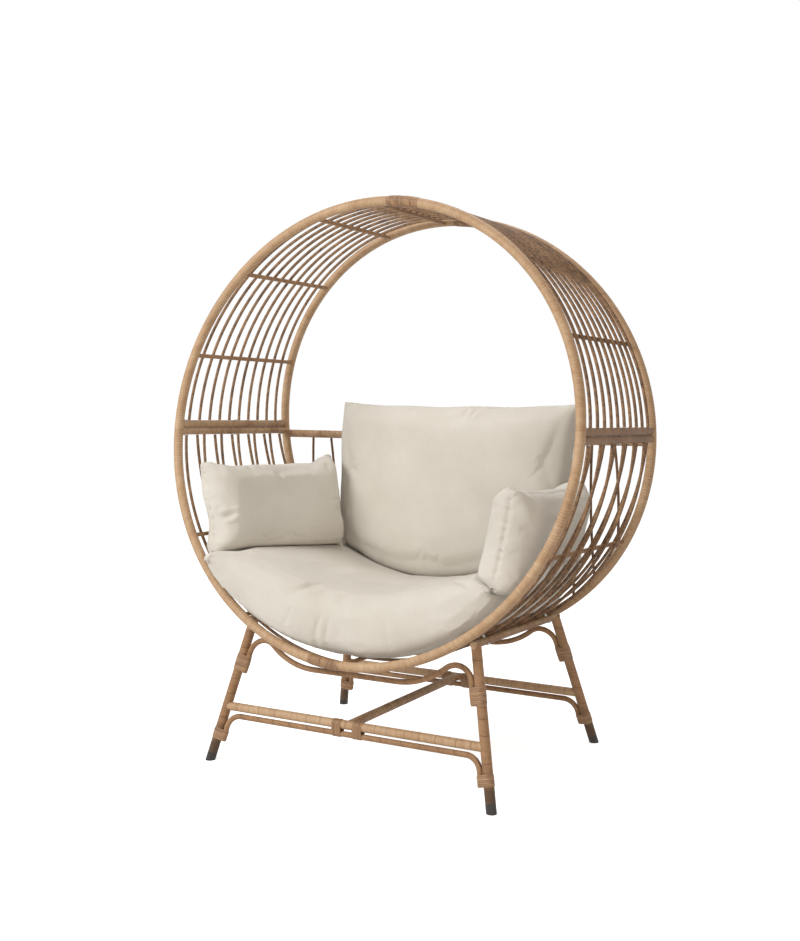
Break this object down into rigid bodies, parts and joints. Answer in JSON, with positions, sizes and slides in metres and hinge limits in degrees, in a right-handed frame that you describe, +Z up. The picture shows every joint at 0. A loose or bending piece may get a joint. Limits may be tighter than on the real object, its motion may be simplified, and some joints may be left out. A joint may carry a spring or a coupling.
{
  "type": "round egg chair",
  "caption": "Round two-seat lounge chair: an open drum of bent cane slats on a splayed cane stand, with loose seat, back and side cushions.",
  "frame": {"origin": "on the floor, under the middle of the four feet", "axes": "+Z up, -Y out of the open front, +X towards the right side of someone who faces the chair"},
  "size_m": [1.317, 0.7528, 1.618],
  "materials": {
    "hoop_cane": "satin varnished cane",
    "leg_cane": "satin varnished cane",
    "thin_cane": "matt peeled cane",
    "cane_binding": "wound split cane",
    "canvas": "plain woven canvas",
    "steel": "zinc plated",
    "glide": "matt moulded"
  },
  "bodies": {
    "frame": {"upper_front_hoop": "hoop_cane", "upper_rear_hoop": "hoop_cane", "upper_left_rail": "thin_cane", "upper_right_rail": "thin_cane", "upper_crossbars": "thin_cane", "upper_slat_1": "thin_cane", "upper_slat_2": "thin_cane", "upper_slat_3": "thin_cane", "upper_slat_4": "thin_cane", "upper_slat_5": "thin_cane", "upper_slat_6": "thin_cane", "upper_slat_7": "thin_cane", "upper_slat_8": "thin_cane", "upper_slat_9": "thin_cane", "upper_slat_10": "thin_cane", "lower_front_hoop": "hoop_cane", "lower_rear_hoop": "hoop_cane", "lower_left_rail": "thin_cane", "lower_right_rail": "thin_cane", "lower_crossbars": "thin_cane", "lower_slat_1": "thin_cane", "lower_slat_2": "thin_cane", "lower_slat_3": "thin_cane", "lower_slat_4": "thin_cane", "lower_slat_5": "thin_cane", "lower_slat_6": "thin_cane", "lower_slat_7": "thin_cane", "lower_slat_8": "thin_cane", "lower_slat_9": "thin_cane", "lower_slat_10": "thin_cane", "lower_slat_11": "thin_cane", "lower_slat_12": "thin_cane", "back_rail": "thin_cane", "back_slats": "thin_cane", "left_bearer": "thin_cane", "right_bearer": "thin_cane", "front_left_leg": "leg_cane", "front_right_leg": "leg_cane", "rear_left_leg": "leg_cane", "rear_right_leg": "leg_cane", "foot_glides": "glide", "front_stretcher": "leg_cane", "rear_stretcher": "leg_cane", "centre_stretcher": "leg_cane", "front_low_rod": "thin_cane", "rear_low_rod": "thin_cane", "front_cradle_rod": "thin_cane", "rear_cradle_rod": "thin_cane", "rail_bolts": "steel", "bearer_bolts": "steel", "nuts": "steel", "leg_screws": "steel", "hoop_bindings": "cane_binding", "leg_bindings": "cane_binding", "stretcher_bindings": "cane_binding"},
    "seat_cushion": {"seat_cushion": "canvas"},
    "back_cushion": {"back_cushion": "canvas"},
    "left_pillow": {"left_pillow": "canvas"},
    "right_pillow": {"right_pillow": "canvas"}
  },
  "joints": [
    {"name": "seat_pull", "type": "slide", "parent": "frame", "child": "seat_cushion", "axis": [0, -0.9511, 0.309], "range_m": [0, 0.3]},
    {"name": "back_lift", "type": "slide", "parent": "seat_cushion", "child": "back_cushion", "axis": [0, 0.1219, 0.9925], "range_m": [0, 0.15]},
    {"name": "left_pillow_pull", "type": "slide", "parent": "seat_cushion", "child": "left_pillow", "axis": [0, -0.9511, 0.309], "range_m": [0, 0.3]},
    {"name": "right_pillow_pull", "type": "slide", "parent": "seat_cushion", "child": "right_pillow", "axis": [0, -0.9511, 0.309], "range_m": [0, 0.3]}
  ]
}
